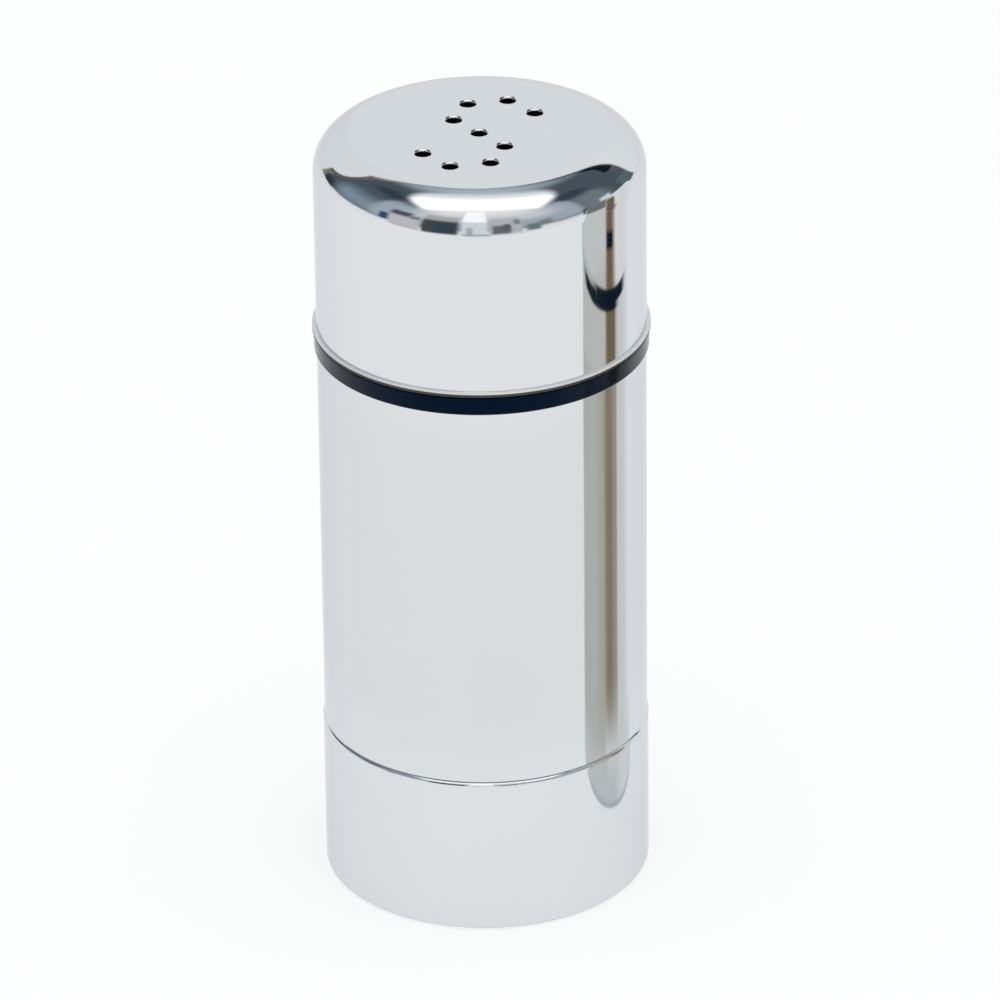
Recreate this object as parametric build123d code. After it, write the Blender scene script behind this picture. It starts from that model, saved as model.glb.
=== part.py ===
# Restaurant spice shaker: a mirror-polished stainless steel cylinder with a perforated screw cap,
# a black rubber ring under the cap, a plain body tube and a screwed base that opens for filling.
# Frame: +Z up, origin at the centre of the base's standing face. Sizes in millimetres.
from build123d import *
import os
from math import cos, pi, radians, sin, tan

# Outside of the shaker
body_radius = 20.95          # body tube
cap_step = 0.05              # the cap stands this much proud of the tube
base_step = 0.15             # the base cup stands this much proud of the tube
base_height = 21.6           # standing face to the seam
seam_gap = 0.1               # tube above the base cup's lip
tube_length = 52.5
seal_ring_height = 2.55
cap_height = 26.45           # rim to flat top
sheet = 0.6                  # stainless steel sheet of cap, tube and base

# Perforated cap
shoulder_radius = 4.8
rim_flare = 0.48             # the rim turns out this far
rim_height = 0.5             # thickness of the turned-out edge
rim_rounding = 0.08
cap_rim_gap = 0.05           # rim above the seal ring, screwed home

# Pour holes: nine holes on two arcs that meet at the cap's centre
pour_hole_radius = 1.0
pour_hole_chamfer = 0.25
pour_arc_radius = 5.2
pour_arc_step = 59.0         # degrees between neighbours on an arc
pour_arc_holes = 4           # on each arc, beside the centre hole
pour_pattern_turn = 68.0     # direction of the far arc's centre, degrees from +X

# Seal ring under the cap
seal_ring_step = 0.35        # proud of the tube
seal_ring_rounding = 0.3
seal_ring_recess = 0.2       # the neck's shoulder stops this far below the ring's top
seal_seat = 1.7              # the neck's shoulder steps in this far from its skirt

# Screw threads, right-handed, one start
thread_pitch = 3.0
thread_depth = 1.0
thread_root_width = 1.7
thread_crest_width = 0.8
thread_clearance = 0.2       # radial, male crest to female root and male root to female crest
male_turns = 2.0
female_turns = 1.5
thread_start = 1.5           # flange face to the nearest turn's centre line
thread_end = 1.9             # last turn's centre line to the neck's lip
thread_bite = 0.2            # how deep a ridge's foot reaches into its wall

# Moulded inserts
press_clearance = 0.05       # plastic outside to steel inside, glued
moulded_wall = 1.6
flange_thickness = 1.5
skirt_depth = 8.0            # insert inside the tube
lip_chamfer = 0.4
rib_depth = 1.35
rib_width = 1.2
rib_count = 12
bush_recess = 0.3            # cap bush above the cap's rim

# Washers
cap_seal_thickness = 1.6
cap_seal_clearance = 0.2     # inside the bush's bore
cap_seal_overlap = 1.2       # inwards of the neck's bore
retaining_bead = 0.5         # bead under the cap seal, inwards from the bore
retaining_bead_height = 0.5
base_gasket_thickness = 1.2
base_gasket_clearance = 0.2  # outside the male thread, and inside the plug's flange

# Base cup
base_edge_rounding = 0.8
base_recess_radius = 15.5
base_recess_depth = 0.8
base_lip_rounding = 0.55     # its groove is the seam's line

# Levels
neck_height = thread_start + thread_pitch * male_turns + thread_end
base_top = base_height
tube_bottom = base_top + seam_gap
tube_top = tube_bottom + tube_length
ring_top = tube_top + seal_ring_height
neck_shoulder = ring_top - seal_ring_recess
neck_lip = neck_shoulder + neck_height
cap_bottom = ring_top + cap_rim_gap
cap_top = cap_bottom + cap_height
bush_bottom = cap_bottom + bush_recess
bush_web = neck_lip + cap_seal_thickness
plug_top = base_top - base_gasket_thickness
tail_lip = plug_top - neck_height
tail_thread = tail_lip + thread_end
plug_bottom = base_recess_depth + sheet
chamber_floor = plug_bottom + flange_thickness

# Radii
cap_radius = body_radius + cap_step
base_radius = body_radius + base_step
tube_bore = body_radius - sheet
skirt_radius = tube_bore - press_clearance
seal_ring_radius = body_radius + seal_ring_step
shoulder_seat_radius = skirt_radius - seal_seat
bush_radius = cap_radius - sheet - press_clearance
bush_bore = bush_radius - rib_depth - moulded_wall
plug_radius = base_radius - sheet - press_clearance
plug_bore = plug_radius - rib_depth - moulded_wall


def male_core(bore):
    """Radius of the wall under a male thread that runs in a female thread of this bore."""
    return bore - thread_clearance - thread_depth


def turned(*outline):
    """Solid turned about Z from a closed outline of (radius, height) points."""
    return revolve(Plane.XZ * make_face(Polyline(*outline, close=True)), Axis.Z)


def softened(face, *corners):
    """The face with each corner, given as ((radius, height), rounding), rounded."""
    for place, rounding in corners:
        nearest = face.vertices().sort_by_distance((*place, 0))[0]
        face = fillet(nearest, rounding)
    return face


def ring(inner, outer, bottom, top):
    """Plain ring about Z."""
    return turned((inner, bottom), (outer, bottom), (outer, top), (inner, top))


def thread(root, crest, bottom, turns):
    """Helical ridge from its root radius to its crest radius, outwards or inwards."""
    outwards = 1 if crest > root else -1
    slope = (thread_root_width - thread_crest_width) / 2 / thread_depth
    foot = thread_root_width / 2 + slope * thread_bite
    tip = thread_crest_width / 2
    inside = root - outwards * thread_bite
    outline = Polyline((inside, -foot), (inside, foot), (crest, tip), (crest, -tip), close=True)
    path = Helix(thread_pitch, thread_pitch * turns, root)
    return Pos(0, 0, bottom) * sweep(Plane.XZ * make_face(outline), path=path, is_frenet=True)


def ribs(inner, outer, bottom, top):
    """Upright ribs between a threaded wall and the steel around it."""
    depth = outer - inner + thread_bite
    rib = Pos(inner - thread_bite + depth / 2, 0, (bottom + top) / 2) * Box(depth, rib_width, top - bottom)
    around = [Rot(0, 0, 360 / rib_count * k) * rib for k in range(rib_count)]
    return Part() + around


def pour_hole_places():
    """Centres of the pour holes: the middle one and the two arcs, each the other turned half round."""
    places = [(0.0, 0.0)]
    turn = radians(pour_pattern_turn)
    centre = (pour_arc_radius * cos(turn), pour_arc_radius * sin(turn))
    for k in range(1, pour_arc_holes + 1):
        angle = turn + pi - radians(pour_arc_step * k)
        x = centre[0] + pour_arc_radius * cos(angle)
        y = centre[1] + pour_arc_radius * sin(angle)
        places += [(x, y), (-x, -y)]
    return places


def cap_shell():
    """Drawn steel cap with a rounded shoulder, a turned-out rim and the pour holes."""
    inner = cap_radius - sheet
    flare = cap_radius + rim_flare
    outline = Polyline(
        (0, cap_top), (cap_radius, cap_top), (cap_radius, cap_bottom + rim_height),
        (flare, cap_bottom + rim_height), (flare, cap_bottom), (inner, cap_bottom),
        (inner, cap_top - sheet), (0, cap_top - sheet), close=True)
    section = softened(
        make_face(outline),
        ((cap_radius, cap_top), shoulder_radius),
        ((inner, cap_top - sheet), shoulder_radius - sheet),
        ((flare, cap_bottom + rim_height), rim_rounding),
        ((flare, cap_bottom), rim_rounding))
    shell = revolve(Plane.XZ * section, Axis.Z)
    drill = Cylinder(pour_hole_radius, 4 * sheet)
    countersink = Pos(0, 0, -pour_hole_chamfer / 2) * Cone(
        pour_hole_radius, pour_hole_radius + pour_hole_chamfer, pour_hole_chamfer)
    return shell - [Pos(x, y, cap_top) * (drill + countersink) for x, y in pour_hole_places()]


def cap_bush():
    """Moulded bush glued in the cap: female thread, two flanges, ribs and a web that holds the seal."""
    wall = bush_bore + moulded_wall
    web_top = bush_web + flange_thickness
    web_bore = male_core(bush_bore) - moulded_wall - cap_seal_overlap
    bead_top = neck_lip - cap_seal_clearance
    body = turned(
        (bush_bore, bush_bottom), (bush_radius, bush_bottom), (bush_radius, bush_bottom + flange_thickness),
        (wall, bush_bottom + flange_thickness), (wall, bush_web), (bush_radius, bush_web),
        (bush_radius, web_top), (web_bore, web_top), (web_bore, bush_web), (bush_bore, bush_web),
        (bush_bore, bead_top), (bush_bore - retaining_bead, bead_top - retaining_bead_height / 2),
        (bush_bore, bead_top - retaining_bead_height))
    crest = male_core(bush_bore) + thread_clearance
    female = thread(bush_bore, crest, neck_shoulder + thread_start + thread_pitch / 2, female_turns)
    return body + ribs(wall, bush_radius, bush_bottom + flange_thickness, bush_web) + female


def cap_seal():
    """Silicone washer between the bush's web and the neck's lip."""
    inner = male_core(bush_bore) - moulded_wall - cap_seal_overlap
    return ring(inner, bush_bore - cap_seal_clearance, neck_lip, bush_web)


def neck_insert():
    """Moulded neck glued in the top of the tube: skirt, stepped shoulder and male thread."""
    core = male_core(bush_bore)
    bore = core - moulded_wall
    seat_bore = shoulder_seat_radius - moulded_wall
    body = turned(
        (skirt_radius - moulded_wall, tube_top - skirt_depth), (skirt_radius, tube_top - skirt_depth),
        (skirt_radius, tube_top), (shoulder_seat_radius, tube_top), (shoulder_seat_radius, neck_shoulder),
        (core, neck_shoulder), (core, neck_lip - lip_chamfer), (core - lip_chamfer, neck_lip),
        (bore, neck_lip), (bore, neck_shoulder - flange_thickness),
        (seat_bore, neck_shoulder - flange_thickness), (seat_bore, tube_top - flange_thickness),
        (skirt_radius - moulded_wall, tube_top - flange_thickness))
    return body + thread(core, core + thread_depth, neck_shoulder + thread_start, male_turns)


def seal_ring():
    """Black rubber ring on the tube's edge, under the cap's rim."""
    inner = shoulder_seat_radius + press_clearance
    outline = Polyline((inner, tube_top), (seal_ring_radius, tube_top), (seal_ring_radius, ring_top),
                       (inner, ring_top), close=True)
    section = softened(
        make_face(outline),
        ((seal_ring_radius, tube_top), seal_ring_rounding),
        ((seal_ring_radius, ring_top), seal_ring_rounding))
    return revolve(Plane.XZ * section, Axis.Z)


def body_tube():
    """Plain steel tube between the seam and the seal ring."""
    return ring(tube_bore, body_radius, tube_bottom, tube_top)


def tail_insert():
    """Moulded insert glued in the foot of the tube: skirt, web and a male thread that points down."""
    core = male_core(plug_bore)
    bore = core - moulded_wall
    skirt_bore = skirt_radius - moulded_wall
    skirt_top = tube_bottom + skirt_depth
    web_top = base_top + flange_thickness
    body = turned(
        (bore, tail_lip), (core - lip_chamfer, tail_lip), (core, tail_lip + lip_chamfer), (core, base_top),
        (skirt_radius, base_top), (skirt_radius, skirt_top), (skirt_bore, skirt_top), (skirt_bore, web_top),
        (bore, web_top))
    return body + thread(core, core + thread_depth, tail_thread, male_turns)


def base_gasket():
    """Flat silicone gasket between the base plug and the tail insert."""
    inner = male_core(plug_bore) + thread_depth + base_gasket_clearance
    return ring(inner, plug_radius - base_gasket_clearance, plug_top, base_top)


def base_plug():
    """Moulded cup glued in the base: chamber floor, female thread, two flanges and ribs."""
    wall = plug_bore + moulded_wall
    body = turned(
        (0, plug_bottom), (plug_radius, plug_bottom), (plug_radius, chamber_floor), (wall, chamber_floor),
        (wall, plug_top - flange_thickness), (plug_radius, plug_top - flange_thickness),
        (plug_radius, plug_top), (plug_bore, plug_top), (plug_bore, chamber_floor), (0, chamber_floor))
    crest = male_core(plug_bore) + thread_clearance
    female = thread(plug_bore, crest, tail_thread + thread_pitch / 2, female_turns)
    return body + ribs(wall, plug_radius, chamber_floor, plug_top - flange_thickness) + female


def base_cup():
    """Drawn steel cup: standing ring round a raised floor, and an open rim at the seam."""
    inner = base_radius - sheet
    step_foot = base_recess_radius + base_recess_depth
    bend = sheet * tan(radians(45 / 2))
    outline = Polyline(
        (0, base_recess_depth), (base_recess_radius, base_recess_depth), (step_foot, 0),
        (base_radius, 0), (base_radius, base_top), (inner, base_top), (inner, sheet),
        (step_foot + bend, sheet), (base_recess_radius + bend, plug_bottom), (0, plug_bottom), close=True)
    section = softened(
        make_face(outline),
        ((base_radius, 0), base_edge_rounding),
        ((base_radius, base_top), base_lip_rounding))
    return revolve(Plane.XZ * section, Axis.Z)


pieces = {
    "cap_shell": cap_shell,
    "cap_bush": cap_bush,
    "cap_seal": cap_seal,
    "seal_ring": seal_ring,
    "neck_insert": neck_insert,
    "body_tube": body_tube,
    "tail_insert": tail_insert,
    "base_gasket": base_gasket,
    "base_plug": base_plug,
    "base_cup": base_cup,
}

os.makedirs("parts", exist_ok=True)
for name, make in pieces.items():
    export_step(make(), f"parts/{name}.step")
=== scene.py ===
# Restaurant spice shaker in mirror-polished stainless steel: its looks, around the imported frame.
import bpy
import bmesh
from math import cos, hypot, pi, radians, sin
from mathutils import Matrix, Vector


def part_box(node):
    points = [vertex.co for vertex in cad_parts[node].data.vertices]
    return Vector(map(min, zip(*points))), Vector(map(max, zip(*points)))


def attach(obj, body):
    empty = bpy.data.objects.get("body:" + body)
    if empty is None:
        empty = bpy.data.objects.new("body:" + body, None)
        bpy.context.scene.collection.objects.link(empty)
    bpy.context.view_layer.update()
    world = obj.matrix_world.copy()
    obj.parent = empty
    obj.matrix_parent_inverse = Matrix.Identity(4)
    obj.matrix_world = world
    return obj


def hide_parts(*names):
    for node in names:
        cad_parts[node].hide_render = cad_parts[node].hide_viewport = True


mm = 0.001
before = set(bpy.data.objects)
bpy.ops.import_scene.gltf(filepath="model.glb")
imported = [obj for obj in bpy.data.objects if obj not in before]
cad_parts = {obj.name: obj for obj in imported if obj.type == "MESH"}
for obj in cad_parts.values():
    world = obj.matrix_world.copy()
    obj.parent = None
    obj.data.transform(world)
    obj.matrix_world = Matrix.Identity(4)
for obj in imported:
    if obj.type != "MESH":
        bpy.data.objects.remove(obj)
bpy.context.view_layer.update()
print("frame loaded:", len(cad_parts), "nodes")


# Modelling steps that every piece shares. Lengths are in millimetres until they reach Blender.
shellFinish = {"mergeWithin": 0.0005, "flatsWeight": 80, "sharpAngle": 40}


def deselectAll():
    if bpy.context.mode != "OBJECT":
        bpy.ops.object.mode_set(mode="OBJECT")
    bpy.ops.object.select_all(action="DESELECT")


def makeActive(piece):
    deselectAll()
    piece.select_set(True)
    bpy.context.view_layer.objects.active = piece


def startRing(name, radius, height, sides, filled):
    # a circle on the axis, left in edit mode with its loop selected
    deselectAll()
    fill = "NGON" if filled else "NOTHING"
    bpy.ops.mesh.primitive_circle_add(vertices=sides, radius=radius * mm, fill_type=fill)
    piece = bpy.context.object
    piece.name = piece.data.name = name
    bpy.ops.object.mode_set(mode="EDIT")
    bpy.ops.mesh.select_all(action="SELECT")
    bpy.ops.transform.translate(value=(0, 0, height * mm))
    return piece


def pullRing(start, end):
    # the selected loop is extruded, then sized about the axis and moved along it
    bpy.ops.mesh.extrude_edges_move()
    share = end[0] / start[0]
    if share != 1:
        bpy.ops.transform.resize(value=(share, share, 1), center_override=(0, 0, start[1] * mm))
    if end[1] != start[1]:
        bpy.ops.transform.translate(value=(0, 0, (end[1] - start[1]) * mm))


def selectLoop(piece, radius, height, slack=0.004):
    # in edit mode: the edges that lie on one circle about the axis
    bpy.ops.mesh.select_mode(type="EDGE")
    bpy.ops.mesh.select_all(action="DESELECT")
    mesh = bmesh.from_edit_mesh(piece.data)
    for edge in mesh.edges:
        onLoop = True
        for corner in edge.verts:
            offRadius = abs(hypot(corner.co.x, corner.co.y) - radius * mm)
            offHeight = abs(corner.co.z - height * mm)
            onLoop = onLoop and offRadius < slack * mm and offHeight < slack * mm
        edge.select_set(onLoop)
    bmesh.update_edit_mesh(piece.data)


def roundLoop(piece, radius, height, rounding, segments):
    selectLoop(piece, radius, height)
    bpy.ops.mesh.bevel(
        offset=rounding * mm, segments=segments, profile=0.5, affect="EDGES", clamp_overlap=False)


def turnShell(name, outline, sides, capped):
    # outline: (radius, height) points all the way round a wall; capped closes its two ends on the axis
    piece = startRing(name, *outline[0], sides, capped)
    if capped:
        bpy.ops.mesh.select_mode(type="EDGE")
    for start, end in zip(outline, outline[1:]):
        pullRing(start, end)
    if capped:
        bpy.ops.mesh.edge_face_add()
    else:
        pullRing(outline[-1], outline[0])
    bpy.ops.mesh.select_all(action="SELECT")
    bpy.ops.mesh.remove_doubles(threshold=shellFinish["mergeWithin"] * mm)
    bpy.ops.mesh.normals_make_consistent(inside=False)
    return piece


def finishPiece(piece, body, slot, material, *nodes, sharpAngle=shellFinish["sharpAngle"]):
    # smooth shading that keeps the flats flat, then the piece takes its nodes' place
    makeActive(piece)
    bpy.ops.object.shade_smooth_by_angle(angle=radians(sharpAngle))
    weighted = piece.modifiers.new("flats", "WEIGHTED_NORMAL")
    weighted.keep_sharp = True
    weighted.weight = shellFinish["flatsWeight"]
    bpy.ops.object.modifier_apply(modifier=weighted.name)
    piece.data.materials.clear()
    piece.data.materials.append(material)
    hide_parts(*nodes)
    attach(piece, body)
    print("made", piece.name, len(piece.data.polygons), "faces")


# Shader nodes, and the four finishes that are made from them.
noiseMiddle = (0.3, 0.7)                                         # a noise keeps to the middle of 0 to 1
mixSocket = {"share": 0, "first": 6, "second": 7, "result": 2}   # the Mix node's own numbers, for colours


def newMaterial(name):
    material = bpy.data.materials.new(name)
    material.use_nodes = True
    return material, material.node_tree


def addNode(tree, kind, **settings):
    node = tree.nodes.new(kind)
    for name, value in settings.items():
        setattr(node, name, value)
    return node


def mapPlace(tree, scale):
    place = addNode(tree, "ShaderNodeTexCoord")
    mapping = addNode(tree, "ShaderNodeMapping")
    mapping.inputs["Scale"].default_value = scale
    tree.links.new(place.outputs["Object"], mapping.inputs["Vector"])
    return mapping.outputs["Vector"]


def noise(tree, vector, scale, detail):
    node = addNode(tree, "ShaderNodeTexNoise")
    node.inputs["Scale"].default_value = scale
    node.inputs["Detail"].default_value = detail
    tree.links.new(vector, node.inputs["Vector"])
    return node.outputs["Fac"]


def rangeOf(tree, value, low, high):
    # stretches a noise between two values
    node = addNode(tree, "ShaderNodeMapRange")
    node.inputs["From Min"].default_value = noiseMiddle[0]
    node.inputs["From Max"].default_value = noiseMiddle[1]
    node.inputs["To Min"].default_value = low
    node.inputs["To Max"].default_value = high
    tree.links.new(value, node.inputs["Value"])
    return node.outputs["Result"]


def combine(tree, operation, first, second):
    # second is another value of the tree, or a number
    node = addNode(tree, "ShaderNodeMath", operation=operation)
    tree.links.new(first, node.inputs[0])
    if isinstance(second, (int, float)):
        node.inputs[1].default_value = second
    else:
        tree.links.new(second, node.inputs[1])
    return node.outputs["Value"]


def smoothStep(tree, value, start, end):
    # 0 before start, 1 past end
    node = addNode(tree, "ShaderNodeMapRange", interpolation_type="SMOOTHSTEP")
    node.inputs["From Min"].default_value = start
    node.inputs["From Max"].default_value = end
    tree.links.new(value, node.inputs["Value"])
    return node.outputs["Result"]


def mixColours(tree, share, first, second):
    # each colour is three numbers, or another value of the tree
    node = addNode(tree, "ShaderNodeMix", data_type="RGBA")
    tree.links.new(share, node.inputs[mixSocket["share"]])
    for place, colour in (("first", first), ("second", second)):
        socket = node.inputs[mixSocket[place]]
        if isinstance(colour, tuple):
            socket.default_value = (*colour, 1)
        else:
            tree.links.new(colour, socket)
    return node.outputs[mixSocket["result"]]


def scaled(tree, value, factor, added=0):
    # a value times a number, plus a number
    product = combine(tree, "MULTIPLY", value, factor)
    return combine(tree, "ADD", product, added) if added else product


def distanceFromAxis(tree, parts):
    flat = addNode(tree, "ShaderNodeCombineXYZ")
    away = addNode(tree, "ShaderNodeVectorMath", operation="LENGTH")
    tree.links.new(parts.outputs["X"], flat.inputs["X"])
    tree.links.new(parts.outputs["Y"], flat.inputs["Y"])
    tree.links.new(flat.outputs[0], away.inputs[0])
    return away.outputs["Value"]


def splitPlace(tree, kind="Object"):
    place = addNode(tree, "ShaderNodeTexCoord")
    parts = addNode(tree, "ShaderNodeSeparateXYZ")
    tree.links.new(place.outputs[kind], parts.inputs[0])
    return parts


def bumpFrom(tree, height, depth, below=None):
    # depth in millimetres
    node = addNode(tree, "ShaderNodeBump")
    node.inputs["Strength"].default_value = 1
    node.inputs["Distance"].default_value = depth * mm
    tree.links.new(height, node.inputs["Height"])
    if below:
        tree.links.new(below, node.inputs["Normal"])
    return node.outputs["Normal"]


steelLook = {
    "bright": (0.735, 0.753, 0.762),
    "dim": (0.716, 0.736, 0.747),
    "edgeTint": (0.84, 0.845, 0.885, 1),       # steel's slight dip just inside its outline
    "roughness": (0.03, 0.055),                # polished, with softer patches
    "hairlines": (0.0, 0.025),                 # added by the turned hairlines
    "hairlineDepth": 0.00006,
    "wavinessDepth": 0.004,                    # how far the drawn sheet strays from true
    "hairlineNoise": (9000, 3),                # scale and detail
    "patchNoise": (90, 3),
    "patchStretch": (1, 1, 0.5),
    "swellNoise": (130, 1),
    "swellStretch": (1, 1, 0.12),
}
capRim = {
    "from": 21.0, "to": 21.03,                 # past this radius the rim is turned out, and satin
    "colour": (0.86, 0.875, 0.88), "roughness": 0.42, "metal": 0.3,
    "edgeShadeFrom": 21.42, "edgeShadeTo": 21.46,          # past this one, and under this height, the rim's edge is darkened: painted shade over the ring
    "edgeShadeHeight": 0.38, "edgeShadeSoft": 0.03,
    "edgeShadeColour": (0.085, 0.083, 0.062),
}


def makePolishedSteel(name, rim=None):
    material, tree = newMaterial(name)
    shader = tree.nodes["Principled BSDF"]
    shader.inputs["Metallic"].default_value = 1
    shader.inputs["Specular Tint"].default_value = steelLook["edgeTint"]
    parts = splitPlace(tree)
    radius, height = distanceFromAxis(tree, parts), parts.outputs["Z"]
    # hairlines run round the axis, so they follow radius and height
    turned = addNode(tree, "ShaderNodeCombineXYZ")
    tree.links.new(radius, turned.inputs["X"])
    tree.links.new(height, turned.inputs["Z"])
    lines = noise(tree, turned.outputs[0], *steelLook["hairlineNoise"])
    patches = noise(tree, mapPlace(tree, steelLook["patchStretch"]), *steelLook["patchNoise"])
    swells = noise(tree, mapPlace(tree, steelLook["swellStretch"]), *steelLook["swellNoise"])
    softness = rangeOf(tree, patches, *steelLook["roughness"])
    rough = combine(tree, "ADD", softness, rangeOf(tree, lines, *steelLook["hairlines"]))
    colour = mixColours(tree, patches, steelLook["bright"], steelLook["dim"])
    if rim:
        satin = smoothStep(tree, radius, rim["from"] * mm, rim["to"] * mm)
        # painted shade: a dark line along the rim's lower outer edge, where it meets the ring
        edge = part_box("cap_shell")[0].z + rim["edgeShadeHeight"] * mm
        soft = rim["edgeShadeSoft"] * mm
        outside = smoothStep(tree, radius, rim["edgeShadeFrom"] * mm, rim["edgeShadeTo"] * mm)
        paintedEdgeShade = combine(tree, "MULTIPLY", outside, smoothStep(tree, height, edge + soft, edge - soft))
        colour = mixColours(tree, paintedEdgeShade, mixColours(tree, satin, colour, rim["colour"]), rim["edgeShadeColour"])
        rough = combine(tree, "ADD", rough, scaled(tree, satin, rim["roughness"]))
        covered = combine(tree, "MULTIPLY", satin, scaled(tree, paintedEdgeShade, -1, 1))
        tree.links.new(scaled(tree, covered, rim["metal"] - 1, 1), shader.inputs["Metallic"])
    tree.links.new(rough, shader.inputs["Roughness"])
    tree.links.new(colour, shader.inputs["Base Color"])
    waves = bumpFrom(tree, swells, steelLook["wavinessDepth"])
    tree.links.new(bumpFrom(tree, lines, steelLook["hairlineDepth"], waves), shader.inputs["Normal"])
    return material


rubberLook = {
    "colour": (0.0012, 0.006, 0.016), "worn": (0.0025, 0.008, 0.019), "roughness": (0.1, 0.17),
    "grainDepth": 0.002, "gloss": 0.5, "glossTint": (0.02, 0.1, 0.27, 1),    # dark face on, pale at a glance
    "clearness": 0,
}
plasticLook = {
    "colour": (0.014, 0.015, 0.018), "worn": (0.022, 0.023, 0.026), "roughness": (0.16, 0.3),
    "grainDepth": 0.003, "gloss": 0.5, "glossTint": (1, 1, 1, 1),
    "clearness": 0,
}
siliconeLook = {
    "colour": (0.66, 0.67, 0.65), "worn": (0.74, 0.75, 0.73), "roughness": (0.35, 0.5),
    "grainDepth": 0.004, "gloss": 0.5, "glossTint": (1, 1, 1, 1),
    "clearness": 0.4,
}
mouldedLook = {"grainNoise": (2600, 2), "patchNoise": (140, 3), "clearDepth": 2}    # the same for all three


def makeMoulded(name, look):
    material, tree = newMaterial(name)
    shader = tree.nodes["Principled BSDF"]
    place = mapPlace(tree, (1, 1, 1))
    grain = noise(tree, place, *mouldedLook["grainNoise"])
    patches = noise(tree, place, *mouldedLook["patchNoise"])
    tree.links.new(mixColours(tree, patches, look["colour"], look["worn"]), shader.inputs["Base Color"])
    tree.links.new(rangeOf(tree, patches, *look["roughness"]), shader.inputs["Roughness"])
    tree.links.new(bumpFrom(tree, grain, look["grainDepth"]), shader.inputs["Normal"])
    shader.inputs["Specular IOR Level"].default_value = look["gloss"]
    shader.inputs["Specular Tint"].default_value = look["glossTint"]
    shader.inputs["Subsurface Weight"].default_value = look["clearness"]
    shader.inputs["Subsurface Radius"].default_value = (mouldedLook["clearDepth"] * mm,) * 3
    return material


polishedSteel = makePolishedSteel("polishedSteel")
capSteel = makePolishedSteel("capSteel", capRim)
blackRubber = makeMoulded("blackRubber", rubberLook)
blackPlastic = makeMoulded("blackPlastic", plasticLook)
paleSilicone = makeMoulded("paleSilicone", siliconeLook)
print("materials made")


# The perforated cap: a sheet shell with a turned-out rim and nine flared pour holes.
capShell = {
    "radius": 21.0, "sheet": 0.6, "shoulder": 4.8, "shoulderSegments": 28,
    "flare": 0.48, "flareHeight": 0.5, "flareRounding": 0.08, "flareSegments": 6,
    "flareFillet": 0.06, "filletSegments": 4,
    "mouthRounding": 0.15, "mouthSegments": 3,
    "sides": 288, "sharpAngle": 50,
}
pourHoles = {
    "radius": 1.0, "topRounding": 0.27, "underRounding": 0.06, "roundingSteps": 6, "sides": 48,
    "arcRadius": 5.2, "arcStep": 59, "perArc": 4, "turn": 68,    # the two arcs of the S
    "spill": 0.003, "overrun": 1,                                # how far the drill stands past the sheet
}


def pourHolePlaces():
    turn = radians(pourHoles["turn"])
    reach = pourHoles["arcRadius"]
    places = [(0, 0)]
    for k in range(1, pourHoles["perArc"] + 1):
        angle = turn + pi - radians(pourHoles["arcStep"] * k)
        x = reach * (cos(turn) + cos(angle))
        y = reach * (sin(turn) + sin(angle))
        places += [(x, y), (-x, -y)]
    return places


def makePourHoleCutters(top):
    # one drill with a flare at both faces of the sheet, copied to each hole's place
    radius, flare, burr = pourHoles["radius"], pourHoles["topRounding"], pourHoles["underRounding"]
    spill, overrun = pourHoles["spill"], pourHoles["overrun"]
    under = top - capShell["sheet"]
    count = pourHoles["roundingSteps"]
    steps = [k * pi / 2 / count for k in range(count + 1)]
    outline = [(radius + burr, under - overrun)]
    for angle in reversed(steps):
        outline.append((radius + burr * (1 - cos(angle)), under + burr - burr * sin(angle) - spill))
    for angle in steps:
        outline.append((radius + flare * (1 - cos(angle)), top - flare + flare * sin(angle) + spill))
    outline.append((radius + flare, top + overrun))
    drill = turnShell("pourHoleCutter", outline, pourHoles["sides"], True)
    bpy.ops.object.mode_set(mode="OBJECT")
    copies = []
    for x, y in pourHolePlaces():
        copy = drill.copy()
        copy.data = drill.data.copy()
        copy.data.transform(Matrix.Translation((x * mm, y * mm, 0)))
        bpy.context.collection.objects.link(copy)
        copies.append(copy)
    bpy.data.objects.remove(drill)
    makeActive(copies[0])
    for copy in copies:
        copy.select_set(True)
    bpy.ops.object.join()
    return bpy.context.object


def makeCapShell():
    cap = capShell
    outer, inner, out = cap["radius"], cap["radius"] - cap["sheet"], cap["radius"] + cap["flare"]
    bottom, top = (corner.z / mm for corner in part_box("cap_shell"))
    ceiling, flareTop = top - cap["sheet"], bottom + cap["flareHeight"]
    piece = turnShell("capShell", [
        (inner, ceiling), (inner, bottom), (out, bottom), (out, flareTop), (outer, flareTop), (outer, top),
    ], cap["sides"], True)
    roundLoop(piece, outer, top, cap["shoulder"], cap["shoulderSegments"])
    roundLoop(piece, inner, ceiling, cap["shoulder"] - cap["sheet"], cap["shoulderSegments"])
    roundLoop(piece, out, bottom, cap["flareRounding"], cap["flareSegments"])
    roundLoop(piece, out, flareTop, cap["flareRounding"], cap["flareSegments"])
    roundLoop(piece, outer, flareTop, cap["flareFillet"], cap["filletSegments"])
    roundLoop(piece, inner, bottom, cap["mouthRounding"], cap["mouthSegments"])
    bpy.ops.object.mode_set(mode="OBJECT")
    cutters = makePourHoleCutters(top)
    makeActive(piece)
    holes = piece.modifiers.new("pourHoles", "BOOLEAN")
    holes.operation, holes.solver, holes.object = "DIFFERENCE", "EXACT", cutters
    bpy.ops.object.modifier_apply(modifier=holes.name)
    bpy.data.objects.remove(cutters)
    finishPiece(piece, "cap", "polished_steel", capSteel, "cap_shell", sharpAngle=cap["sharpAngle"])
    return piece


# The body: a plain sheet tube, open at both ends.
bodyTube = {"radius": 20.95, "sheet": 0.6, "edgeRounding": 0.06, "edgeSegments": 4, "sides": 288}


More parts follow.
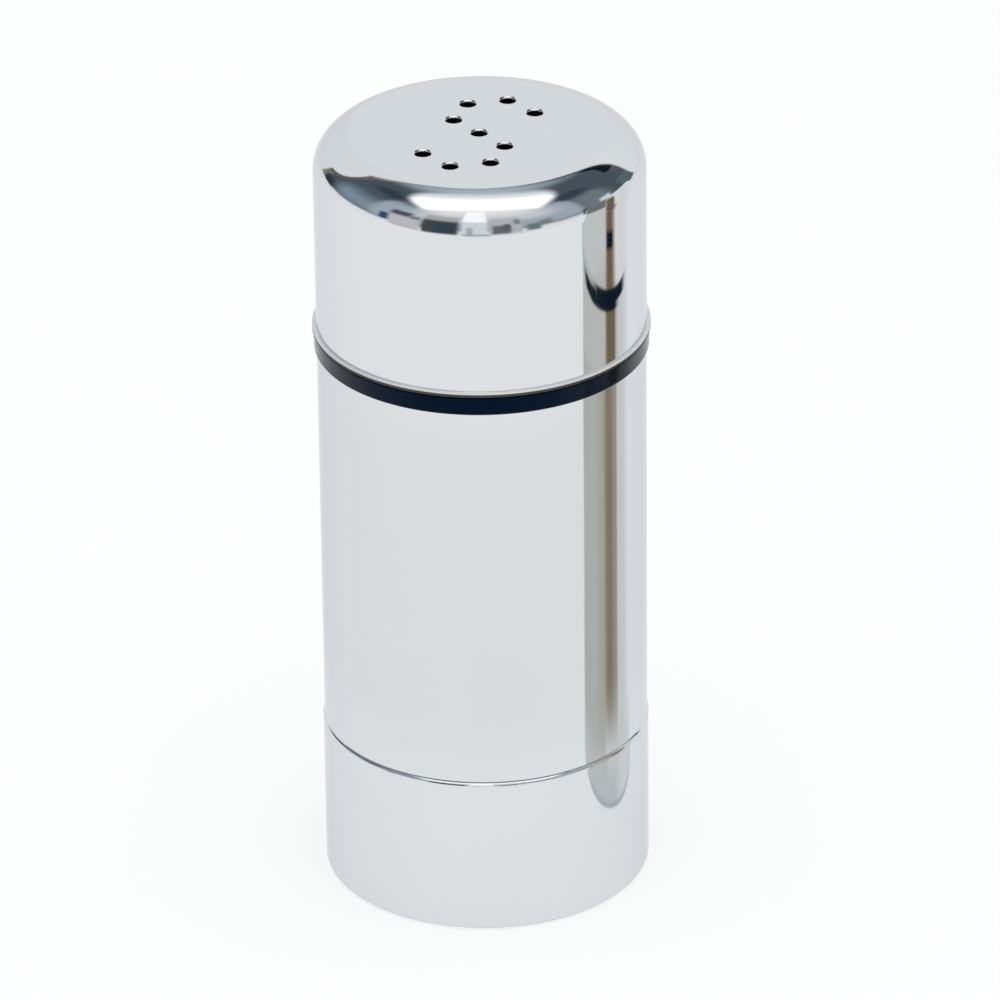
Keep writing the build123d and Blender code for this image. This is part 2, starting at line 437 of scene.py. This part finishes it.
def makeBodyTube():
    low, high = (corner.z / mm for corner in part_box("body_tube"))
    outer, inner = bodyTube["radius"], bodyTube["radius"] - bodyTube["sheet"]
    outline = [(inner, low), (outer, low), (outer, high), (inner, high)]
    piece = turnShell("bodyTube", outline, bodyTube["sides"], False)
    for radius in (outer, inner):
        for height in (low, high):
            roundLoop(piece, radius, height, bodyTube["edgeRounding"], bodyTube["edgeSegments"])
    bpy.ops.object.mode_set(mode="OBJECT")
    finishPiece(piece, "body", "polished_steel", polishedSteel, "body_tube")
    return piece


# The black ring between the cap and the body.
sealRing = {"inner": 18.65, "outer": 21.3, "rounding": 0.3, "roundingSegments": 6, "sides": 288}


def makeSealRing():
    low, high = (corner.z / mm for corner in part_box("seal_ring"))
    inner, outer = sealRing["inner"], sealRing["outer"]
    outline = [(inner, low), (outer, low), (outer, high), (inner, high)]
    piece = turnShell("sealRing", outline, sealRing["sides"], False)
    for height in (low, high):
        roundLoop(piece, outer, height, sealRing["rounding"], sealRing["roundingSegments"])
    bpy.ops.object.mode_set(mode="OBJECT")
    finishPiece(piece, "body", "black_rubber", blackRubber, "seal_ring")
    return piece


# The base: a sheet cup with a rounded lip, and a floor raised inside its standing ring.
baseCup = {
    "radius": 21.1, "sheet": 0.6, "edgeRounding": 0.8, "edgeSegments": 10,
    "lipRounding": 0.55, "lipSegments": 8,
    "recess": 15.5, "recessDepth": 0.8, "recessRounding": 0.5, "recessSegments": 6,
    "bend": 0.414,     # of the sheet: it keeps the slope round the raised floor as thick as the rest
    "sides": 288,
}


def makeBaseCup():
    base = baseCup
    low, high = (corner.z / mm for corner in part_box("base_cup"))
    sheet, depth, recess = base["sheet"], base["recessDepth"], base["recess"]
    outer, inner = base["radius"], base["radius"] - sheet
    foot, bend = recess + depth, sheet * base["bend"]
    piece = turnShell("baseCup", [
        (recess, low + depth), (foot, low), (outer, low), (outer, high), (inner, high),
        (inner, low + sheet), (foot + bend, low + sheet), (recess + bend, low + depth + sheet),
    ], base["sides"], True)
    roundLoop(piece, outer, low, base["edgeRounding"], base["edgeSegments"])
    roundLoop(piece, outer, high, base["lipRounding"], base["lipSegments"])
    roundLoop(piece, foot, low, base["recessRounding"], base["recessSegments"])
    roundLoop(piece, recess, low + depth, base["recessRounding"], base["recessSegments"])
    bpy.ops.object.mode_set(mode="OBJECT")
    finishPiece(piece, "base", "polished_steel", polishedSteel, "base_cup")
    return piece


shells = [makeCapShell(), makeBodyTube(), makeSealRing(), makeBaseCup()]

innerFinish = {
    "cap_bush": blackPlastic, "neck_insert": blackPlastic, "tail_insert": blackPlastic,
    "base_plug": blackPlastic, "cap_seal": paleSilicone, "base_gasket": paleSilicone,
}
for name, material in innerFinish.items():
    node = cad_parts[name]
    for place in range(max(1, len(node.data.materials))):
        if node.data.materials:
            node.data.materials[place] = material
        else:
            node.data.materials.append(material)
print("inner nodes painted")


# The stage.
def seenOnlyInReflections(thing):
    for rays in ("camera", "diffuse", "transmission", "volume_scatter", "shadow"):
        setattr(thing, "visible_" + rays, False)


floorLook = {
    "size": 8, "drop": 0.05,                   # metres across, and millimetres under the base
    "albedo": (0.3, 0.3, 0.3), "ownLight": 0.72,
    "frontEdge": 0.34, "frontFade": 0.05,      # mirrored in the steel, the table ends this far in front
    "shade": 0.94, "shadeFrom": 0.065, "shadeTo": 0.165, "shadeSoft": 0.012,    # and carries a painted soft shadow in a ring
}


def makeFloor():
    deselectAll()
    bpy.ops.mesh.primitive_plane_add(size=floorLook["size"], location=(0, 0, -floorLook["drop"] * mm))
    floor = bpy.context.object
    floor.name = "floor"
    bpy.ops.object.transform_apply()
    material, tree = newMaterial("paleFloor")
    tree.nodes.remove(tree.nodes["Principled BSDF"])
    diffuse = addNode(tree, "ShaderNodeBsdfDiffuse")
    diffuse.inputs["Color"].default_value = (*floorLook["albedo"], 1)
    own = addNode(tree, "ShaderNodeEmission")
    both = addNode(tree, "ShaderNodeAddShader")
    tree.links.new(diffuse.outputs[0], both.inputs[0])
    tree.links.new(own.outputs[0], both.inputs[1])
    rays = addNode(tree, "ShaderNodeLightPath")
    mirrored = rays.outputs["Is Glossy Ray"]
    shown = combine(tree, "MAXIMUM", rays.outputs["Is Camera Ray"], mirrored)
    shown = combine(tree, "MAXIMUM", shown, rays.outputs["Is Transmission Ray"])
    # its own light, with a painted soft shadow in a ring, only where the steel mirrors it
    parts = splitPlace(tree)
    away = distanceFromAxis(tree, parts)
    start, end, soft = floorLook["shadeFrom"], floorLook["shadeTo"], floorLook["shadeSoft"]
    past = smoothStep(tree, away, start - soft, start + soft)
    paintedShadow = combine(tree, "MULTIPLY", past, smoothStep(tree, away, end + soft, end - soft))
    paintedShadow = combine(tree, "MULTIPLY", paintedShadow, mirrored)
    light = scaled(tree, scaled(tree, paintedShadow, floorLook["shade"] - 1, 1), floorLook["ownLight"])
    tree.links.new(combine(tree, "MULTIPLY", shown, light), own.inputs["Strength"])
    # it ends in front, in the steel only
    edge, fade = -floorLook["frontEdge"], floorLook["frontFade"]
    ended = smoothStep(tree, parts.outputs["Y"], edge + fade, edge - fade)
    ending = addNode(tree, "ShaderNodeMixShader")
    tree.links.new(combine(tree, "MULTIPLY", ended, mirrored), ending.inputs[0])
    tree.links.new(both.outputs[0], ending.inputs[1])
    tree.links.new(addNode(tree, "ShaderNodeBsdfTransparent").outputs[0], ending.inputs[2])
    tree.links.new(ending.outputs[0], tree.nodes["Material Output"].inputs["Surface"])
    floor.data.materials.append(material)


# A second shaker beside this one, which shows only in the steel. Its looks are light of its own, all
# painted: painted reflections of the room, lamps and wood in its steel, its painted shade, and its black
# ring fading to a painted sheen at the sides.
# The patches' across is degrees from where it faces this one, towards the front, and up is in millimetres.
# steel: the painted reflection of the pale room that its sides start from
neighbour = {"x": 60.4, "y": -7.7, "steel": (0.93, 0.945, 0.96)}
neighbourPatches = {
    "paleSide": ("side", (-30, 0), (-9, 77), (14, 1), (0.72, 0.74, 0.73)),
    "paleCap": ("side", (-30, 0), (77, 120), (14, 1), (0.85, 0.86, 0.86)),
    "shadedSide": ("side", (12, 120), (-9, 120), (3, 1), (0.53, 0.55, 0.52)),
    "shadedCap": ("side", (7, 120), (77, 120), (2, 1), (0.67, 0.69, 0.69)),
    "roomReflection": ("side", (-1, 24), (13, 75), (7, 8), (0.485, 0.475, 0.4)),
    "lampReflection": ("side", (-8, -1.5), (13, 75), (2, 8), (0.38, 0.36, 0.3)),
    "lampReflectionCap": ("side", (-5, -1.5), (75, 92), (1.5, 2), (0.5, 0.44, 0.34)),
    "woodReflection": ("side", (-2, 12), (13, 75), (4, 8), (0.28, 0.235, 0.185)),
    "paleUnderRing": ("side", (-10, 120), (62.7, 75), (3, 0.8), (0.61, 0.615, 0.58)),
    "woodReflectionUnderRing": ("side", (-5.5, 10), (62.7, 75), (2.5, 0.8), (0.2, 0.155, 0.095)),
    "woodReflectionCap": ("side", (-2, 9), (75, 92.5), (2.5, 1.5), (0.2, 0.135, 0.088)),
    "woodReflectionShoulder": ("side", (0.5, 13), (89.5, 101), (2.5, 1.5), (0.19, 0.135, 0.09)),
    "handleReflection": ("side", (-1.5, 8), (82, 84.5), (1.2, 0.5), (0.006, 0.012, 0.02)),
    "shoulderDark": ("side", (13, 60), (94.8, 103.5), (4, 1.5), (0.19, 0.2, 0.195)),
    "ring": ("side", (-23, 28), (74.2, 76.45), (7, 0.25), (0.004, 0.012, 0.024)),
    "ringLeft": ("side", (22, 52), (73.2, 75.65), (7, 0.35), (0.004, 0.012, 0.024)),
    "ringShadow": ("side", (-9, 36), (73.1, 74.5), (6, 0.25), (0.004, 0.012, 0.024)),
    "foot": ("side", (-70, 120), (-9, 8), (3, 4), (0.63, 0.65, 0.66)),
    "footPale": ("side", (-70, -6), (-9, 9), (8, 3), (0.78, 0.8, 0.81)),
    "footRim": ("side", (-70, 120), (-9, 1.2), (3, 0.6), (0.48, 0.5, 0.53)),
}


def makeNeighbourLook():
    material, tree = newMaterial("neighbourPaintedSteel")
    tree.nodes.remove(tree.nodes["Principled BSDF"])
    glow = addNode(tree, "ShaderNodeEmission")
    tree.links.new(glow.outputs[0], tree.nodes["Material Output"].inputs["Surface"])
    x, y, z = splitPlace(tree).outputs
    turn = combine(tree, "ARCTAN2", scaled(tree, y, -1), scaled(tree, x, -1))
    over = {"side": (scaled(tree, turn, 180 / pi), combine(tree, "DIVIDE", z, mm))}
    painted = neighbour["steel"]
    # painted reflections, painted shade and painted ring sheen, one patch over another
    for patch in neighbourPatches.values():
        painted = paintPatch(tree, painted, over, patch)
    tree.links.new(painted, glow.inputs["Color"])
    return material


def makeNeighbour():
    look = makeNeighbourLook()
    for shell in shells:
        twin = bpy.data.objects.new("neighbour_" + shell.name, shell.data)
        bpy.context.collection.objects.link(twin)
        twin.location = (neighbour["x"] * mm, neighbour["y"] * mm, 0)
        twin.material_slots[0].link = "OBJECT"
        twin.material_slots[0].material = look
        seenOnlyInReflections(twin)


worldLook = {
    "background": (1, 1, 1), "fill": (0.62, 0.63, 0.65),
    "above": (0.08, 0.105, 0.13), "below": (0.95, 0.96, 0.97),    # over and under the horizon, in steel
    "horizonSoft": 2, "lowest": 0.001,
    "fanMiddle": 0.03, "fanSlope": 0.25, "fanFront": 0.42,        # how the fan's sides spread
}

# Light and dark things round the table, as the steel shows them, the later ones over the earlier ones:
# from and to across, from and to up, how soft the edges are across and up, and the light.
# "sky": degrees from the front, to the right, and degrees up. "behind": a round patch, in degrees from
# the back, to the right, and degrees up. "ceiling": sideways and backwards, in heights above the shaker;
# "fan": the same, with sides that spread towards the front.
studioPatches = {
    "leftWall": ("sky", (-113, -74), (-1, 30), (8, 16), (0.26, 0.335, 0.41)),
    "frontRoom": ("sky", (-80, 75), (0, 50), (5, 9), (0.42, 0.49, 0.56)),
    "rightWall": ("sky", (76, 101), (-1, 40), (6, 9), (0.2, 0.23, 0.265)),
    "paleWall": ("sky", (-50, 56), (24, 75), (14, 8), (0.72, 0.74, 0.78)),
    "ceilingGlow": ("sky", (-42, 42), (42, 90), (16, 12), (0.97, 0.97, 0.98)),
    "leftBeam": ("sky", (-128, -84), (51, 61), (11, 5), (0.035, 0.055, 0.08)),
    "rightBeam": ("sky", (73, 107), (43, 57), (6, 5), (0.042, 0.066, 0.092)),
    "backGlow": ("ceiling", (-0.2, 0.2), (0.1, 1.2), (0.16, 0.3), (0.5, 0.56, 0.61)),
    "backGap": ("ceiling", (-0.06, 0.06), (0.9, 2.2), (0.1, 0.2), (0.5, 0.56, 0.61)),
    "backLight": ("fan", (-1, 0.56), (-0.3, 0.45), (0.07, 0.32), (1.05, 1.1, 1.15)),
    "softboxWide": ("fan", (-1, 0.57), (-0.6, -0.1), (0.1, 0.1), (1.25, 1.25, 1.25)),
    "softbox": ("fan", (-1, 0.52), (-0.5, 0.12), (0.06, 0.1), (1.6, 1.6, 1.6)),
    "leftShelf": ("sky", (-65, -49), (20, 31), (2.5, 2.5), (0.11, 0.1, 0.13)),
    "leftShelfEnd": ("sky", (-49, -42), (9, 25), (2, 4), (0.2, 0.24, 0.29)),
    "leftBoard": ("sky", (-63, -41), (-12, 17), (2, 3), (0.64, 0.62, 0.66)),
    "leftPost": ("sky", (-71, -64.5), (-1, 15), (2, 3), (0.04, 0.075, 0.18)),
    "doorShade": ("sky", (-40, -15), (20, 38), (2, 4), (0.5, 0.51, 0.51)),
    "darkDoor": ("sky", (-39.5, -15), (-13, 25), (1.5, 5), (0.075, 0.078, 0.078)),
    "doorPane": ("sky", (-32, -16), (-10, 18), (5, 5), (0.045, 0.068, 0.1)),
    "window": ("sky", (-12.5, 5), (-18, 50), (1.5, 5), (0.82, 0.85, 0.9)),
    "windowTop": ("sky", (-12.5, 4.5), (26, 57), (1.5, 3), (1.28, 1.28, 1.28)),
    "windowFoot": ("sky", (-12, 7), (-16, -11), (1, 1.5), (0.44, 0.47, 0.54)),
    "windowBar": ("sky", (-9, -5), (-18, 9), (1, 4), (0.47, 0.5, 0.55)),
    "greyWall": ("sky", (6, 28), (-12, 34), (1.5, 6), (0.56, 0.58, 0.62)),
    "greyDoor": ("sky", (8, 20.5), (-11, 14), (1.5, 4), (0.18, 0.18, 0.215)),
    "greyDoorEdge": ("sky", (15.5, 20), (-2, 17), (1.5, 3), (0.15, 0.135, 0.125)),
    "rightBar": ("sky", (23, 27.5), (14, 28), (1, 2), (0.28, 0.28, 0.31)),
    "rightRail": ("sky", (31, 41), (-9, 9), (2, 4), (0.17, 0.225, 0.25)),
    "rightChair": ("sky", (40, 49), (2, 14), (2, 3), (0.24, 0.27, 0.28)),
    "rightPost": ("sky", (72.5, 77), (-12, 7), (1, 3), (0.07, 0.08, 0.12)),
    "rightCorner": ("sky", (113, 127), (-2, 20), (3, 4), (0.12, 0.165, 0.18)),
    "rightLamp": ("sky", (89, 99), (4, 13), (2, 2.5), (0.75, 0.82, 0.82)),
    "leftSweepEdge": ("behind", (-53, 2), (-15, 48.5), (0.08, 0.08), (0.3, 0.285, 0.23)),
    "leftSweepTopEdge": ("behind", (-58, -18), (10, 47.8), (0.1, 0.1), (0.17, 0.14, 0.13)),
    "rightSweepEdge": ("behind", (34, 53), (22, 36), (0.2, 0.2), (0.12, 0.12, 0.14)),
    "rightShadow": ("behind", (11, 48), (34, 42.3), (0.16, 0.16), (0.008, 0.01, 0.02)),
    "leftSweep": ("behind", (-47, 4), (-15, 45), (0.06, 0.06), (0.87, 0.9, 0.92)),
    "leftSweepTop": ("behind", (-55, -12), (15, 45), (0.08, 0.08), (0.87, 0.9, 0.92)),
    "rightSweep": ("behind", (-8, 53), (-15, 38), (0.06, 0.06), (0.925, 0.945, 0.955)),
    "leftCorner": ("sky", (-130, -118), (-12, 11), (3, 4), (0.04, 0.047, 0.062)),
}


def paintPatch(tree, under, over, patch):
    # one soft-edged patch over what is painted already
    where, acrossEnds, upEnds, softness, light = patch
    inside = None
    for value, ends, soft in zip(over[where], (acrossEnds, upEnds), softness):
        if where == "behind":
            middle, half = (ends[0] + ends[1]) / 2, (ends[1] - ends[0]) / 2
            away = combine(tree, "DIVIDE", combine(tree, "SUBTRACT", value, middle), half)
            away = combine(tree, "POWER", away, 2)
            inside = combine(tree, "ADD", inside, away) if inside else away
        else:
            rise = smoothStep(tree, value, ends[0] - soft, ends[0] + soft)
            fall = smoothStep(tree, value, ends[1] + soft, ends[1] - soft)
            band = combine(tree, "MULTIPLY", rise, fall)
            inside = combine(tree, "MULTIPLY", inside, band) if inside else band
    if where == "behind":
        inside = smoothStep(tree, inside, 1 + softness[0], 1 - softness[0])
    return mixColours(tree, inside, under, light)


def makeWorld():
    world = bpy.data.worlds.new("studio")
    bpy.context.scene.world = world
    world.use_nodes = True
    tree = world.node_tree
    x, y, z = splitPlace(tree, "Generated").outputs
    turn = combine(tree, "ARCTAN2", x, scaled(tree, y, -1))
    fromBack = combine(tree, "ARCTAN2", x, y)
    lift = addNode(tree, "ShaderNodeMath", operation="ARCSINE")
    tree.links.new(z, lift.inputs[0])
    lift = scaled(tree, lift.outputs[0], 180 / pi)
    height = combine(tree, "MAXIMUM", z, worldLook["lowest"])
    sideways = combine(tree, "DIVIDE", x, height)
    backwards = combine(tree, "DIVIDE", y, height)
    spread = addNode(tree, "ShaderNodeMath", operation="ABSOLUTE")
    tree.links.new(combine(tree, "SUBTRACT", sideways, worldLook["fanMiddle"]), spread.inputs[0])
    front = scaled(tree, combine(tree, "MAXIMUM", backwards, 0), worldLook["fanFront"])
    slant = combine(tree, "ADD", scaled(tree, backwards, worldLook["fanSlope"]), front)
    over = {
        "sky": (scaled(tree, turn, 180 / pi), lift),
        "behind": (scaled(tree, fromBack, 180 / pi), lift),
        "ceiling": (sideways, backwards),
        "fan": (combine(tree, "ADD", spread.outputs[0], slant), backwards),
    }
    horizon = smoothStep(tree, lift, -worldLook["horizonSoft"], worldLook["horizonSoft"])
    painted = mixColours(tree, horizon, worldLook["below"], worldLook["above"])
    for patch in studioPatches.values():
        painted = paintPatch(tree, painted, over, patch)
    rays = addNode(tree, "ShaderNodeLightPath")
    inSteel = mixColours(tree, rays.outputs["Is Glossy Ray"], worldLook["fill"], painted)
    inView = mixColours(tree, rays.outputs["Is Camera Ray"], inSteel, worldLook["background"])
    tree.links.new(inView, tree.nodes["Background"].inputs["Color"])


lampLook = {"size": 1.2, "energy": 6.5, "place": (0, -0.3, 1.2), "tilt": -14}


def makeLamp():
    lamp = bpy.data.lights.new("softLamp", "AREA")
    lamp.shape = "SQUARE"
    lamp.size = lampLook["size"]
    lamp.energy = lampLook["energy"]
    thing = bpy.data.objects.new("softLamp", lamp)
    thing.location = lampLook["place"]
    thing.rotation_euler = (radians(lampLook["tilt"]), 0, 0)
    thing.visible_glossy = False
    bpy.context.collection.objects.link(thing)


makeFloor()
makeNeighbour()
makeWorld()
makeLamp()
print("stage made")


# The camera.
cameraLook = {
    "distance": 1067.1, "elevation": 27.28, "roll": -0.632, "target": (2.11, 0, 51.42),
    "focalPixels": 8325, "framePixels": 1000, "sensor": 36, "clip": (0.01, 50),
}


def makeCamera():
    look = cameraLook
    data = bpy.data.cameras.new("camera")
    data.sensor_fit = "HORIZONTAL"
    data.sensor_width = look["sensor"]
    data.lens = look["sensor"] * look["focalPixels"] / look["framePixels"]
    data.clip_start, data.clip_end = look["clip"]
    thing = bpy.data.objects.new("camera", data)
    bpy.context.collection.objects.link(thing)
    tilt = radians(look["elevation"])
    away = Vector((0, -cos(tilt), sin(tilt)))
    turn = Matrix.Rotation(pi / 2 - tilt, 3, "X") @ Matrix.Rotation(radians(look["roll"]), 3, "Z")
    thing.location = Vector(look["target"]) * mm + away * look["distance"] * mm
    thing.rotation_euler = turn.to_euler()
    bpy.context.scene.camera = thing


makeCamera()
bpy.context.scene.view_settings.view_transform = "Standard"
